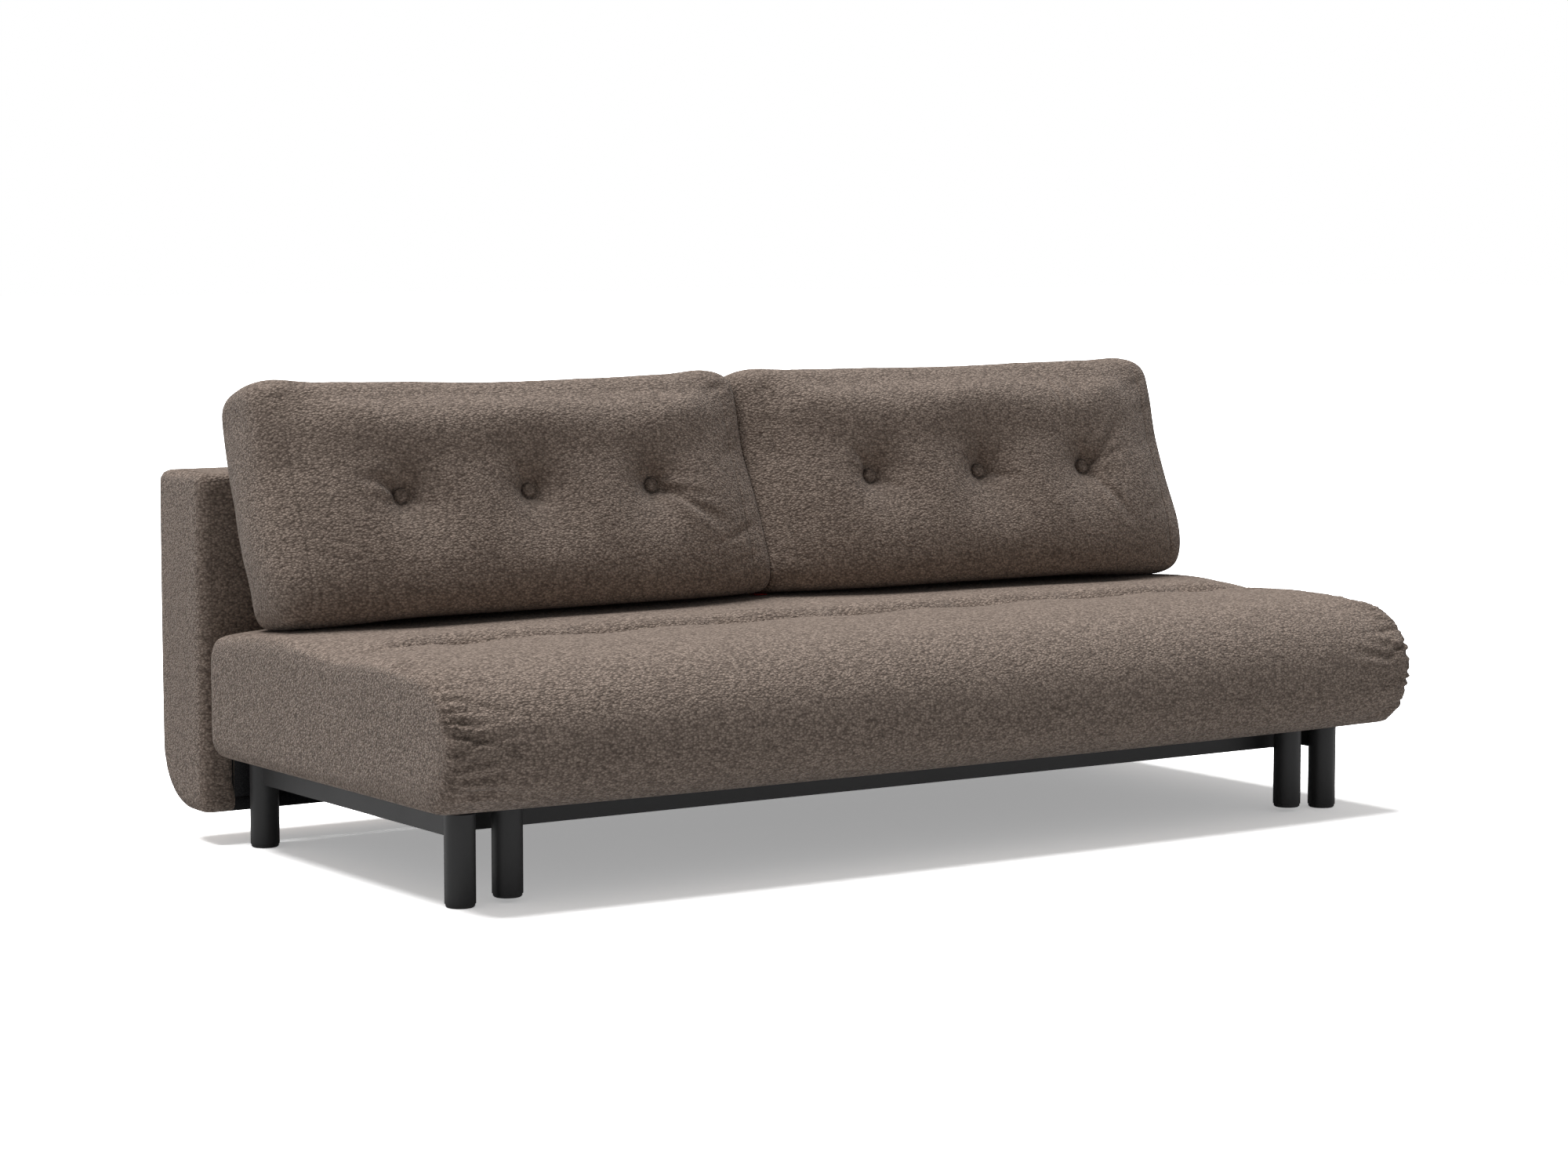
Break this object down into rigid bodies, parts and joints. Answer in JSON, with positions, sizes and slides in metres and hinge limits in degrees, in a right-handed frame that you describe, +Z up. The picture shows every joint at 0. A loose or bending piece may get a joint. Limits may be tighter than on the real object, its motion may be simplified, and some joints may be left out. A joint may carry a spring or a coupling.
{
  "type": "sofa bed",
  "caption": "Upholstered sofa bed: the seat pulls forward on its own legs, links fold the back down flat behind it, and buttoned back cushions lift off.",
  "frame": {"origin": "on the floor under the middle of the rest box", "axes": "+X along the length to the viewer's right, front towards -Y, +Z up"},
  "size_m": [2, 1.0714, 0.8066],
  "materials": {
    "upholstery": "nubbly woven taupe cloth",
    "frame_metal": "satin black powder coat",
    "lining": "thin black woven lining",
    "timber": "planed pale softwood",
    "webbing": "red woven webbing",
    "nylon": "moulded black nylon",
    "rubber": "matt black rubber",
    "steel": "zinc-plated steel"
  },
  "bodies": {
    "main_frame": {"frame_feet": "nylon", "front_rail": "frame_metal", "hinge_arm_left": "frame_metal", "hinge_arm_right": "frame_metal", "hinge_pin_left": "steel", "hinge_pin_right": "steel", "leg_front_left": "frame_metal", "leg_front_right": "frame_metal", "leg_rear_left": "frame_metal", "leg_rear_right": "frame_metal", "rail_glides": "nylon", "rear_rail": "frame_metal", "side_rail_left": "frame_metal", "side_rail_right": "frame_metal"},
    "backrest": {"back_frame_posts": "timber", "back_frame_rails": "timber", "back_lining": "lining", "back_upholstery": "upholstery", "hinge_leaf_left": "frame_metal", "hinge_leaf_right": "frame_metal", "link_bracket_left": "frame_metal", "link_bracket_right": "frame_metal", "link_pin_upper_left": "steel", "link_pin_upper_right": "steel"},
    "fold_links": {"fold_link_left": "frame_metal", "fold_link_right": "frame_metal"},
    "seat": {"bed_rest_pad_left": "rubber", "bed_rest_pad_right": "rubber", "inner_feet": "nylon", "inner_leg_left": "frame_metal", "inner_leg_right": "frame_metal", "leg_plate_left": "frame_metal", "leg_plate_right": "frame_metal", "link_arm_left": "frame_metal", "link_arm_right": "frame_metal", "link_pin_lower_left": "steel", "link_pin_lower_right": "steel", "pull_strap": "webbing", "seat_base_bearers": "timber", "seat_base_boards": "timber", "seat_cushion": "upholstery", "seat_runners": "nylon", "seat_slats": "timber", "seat_under_cover": "lining"},
    "cushion_left": {"back_cushion_left": "upholstery", "cushion_buttons_left": "upholstery"},
    "cushion_right": {"back_cushion_right": "upholstery", "cushion_buttons_right": "upholstery"}
  },
  "joints": [
    {"name": "backrest_fold", "type": "hinge", "parent": "main_frame", "child": "backrest", "pos_m": [0, 0.355, 0.2075], "axis": [1, 0, 0], "range_deg": [0, 90]},
    {"name": "link_swing", "type": "hinge", "parent": "backrest", "child": "fold_links", "pos_m": [0, 0.35095, 0.42346], "axis": [1, 0, 0], "range_deg": [-180, 0]},
    {"name": "seat_travel", "type": "hinge", "parent": "fold_links", "child": "seat", "pos_m": [0, 0.355, 0.2075], "axis": [1, 0, 0], "range_deg": [0, 90]},
    {"name": "cushion_left_lift", "type": "slide", "parent": "seat", "child": "cushion_left", "axis": [0, 0, 1], "range_m": [0, 0.45]},
    {"name": "cushion_right_lift", "type": "slide", "parent": "seat", "child": "cushion_right", "axis": [0, 0, 1], "range_m": [0, 0.45]}
  ],
  "couplings": [
    {"joint": "link_swing", "follows": "backrest_fold", "ratio": -2},
    {"joint": "seat_travel", "follows": "backrest_fold", "ratio": 1}
  ]
}
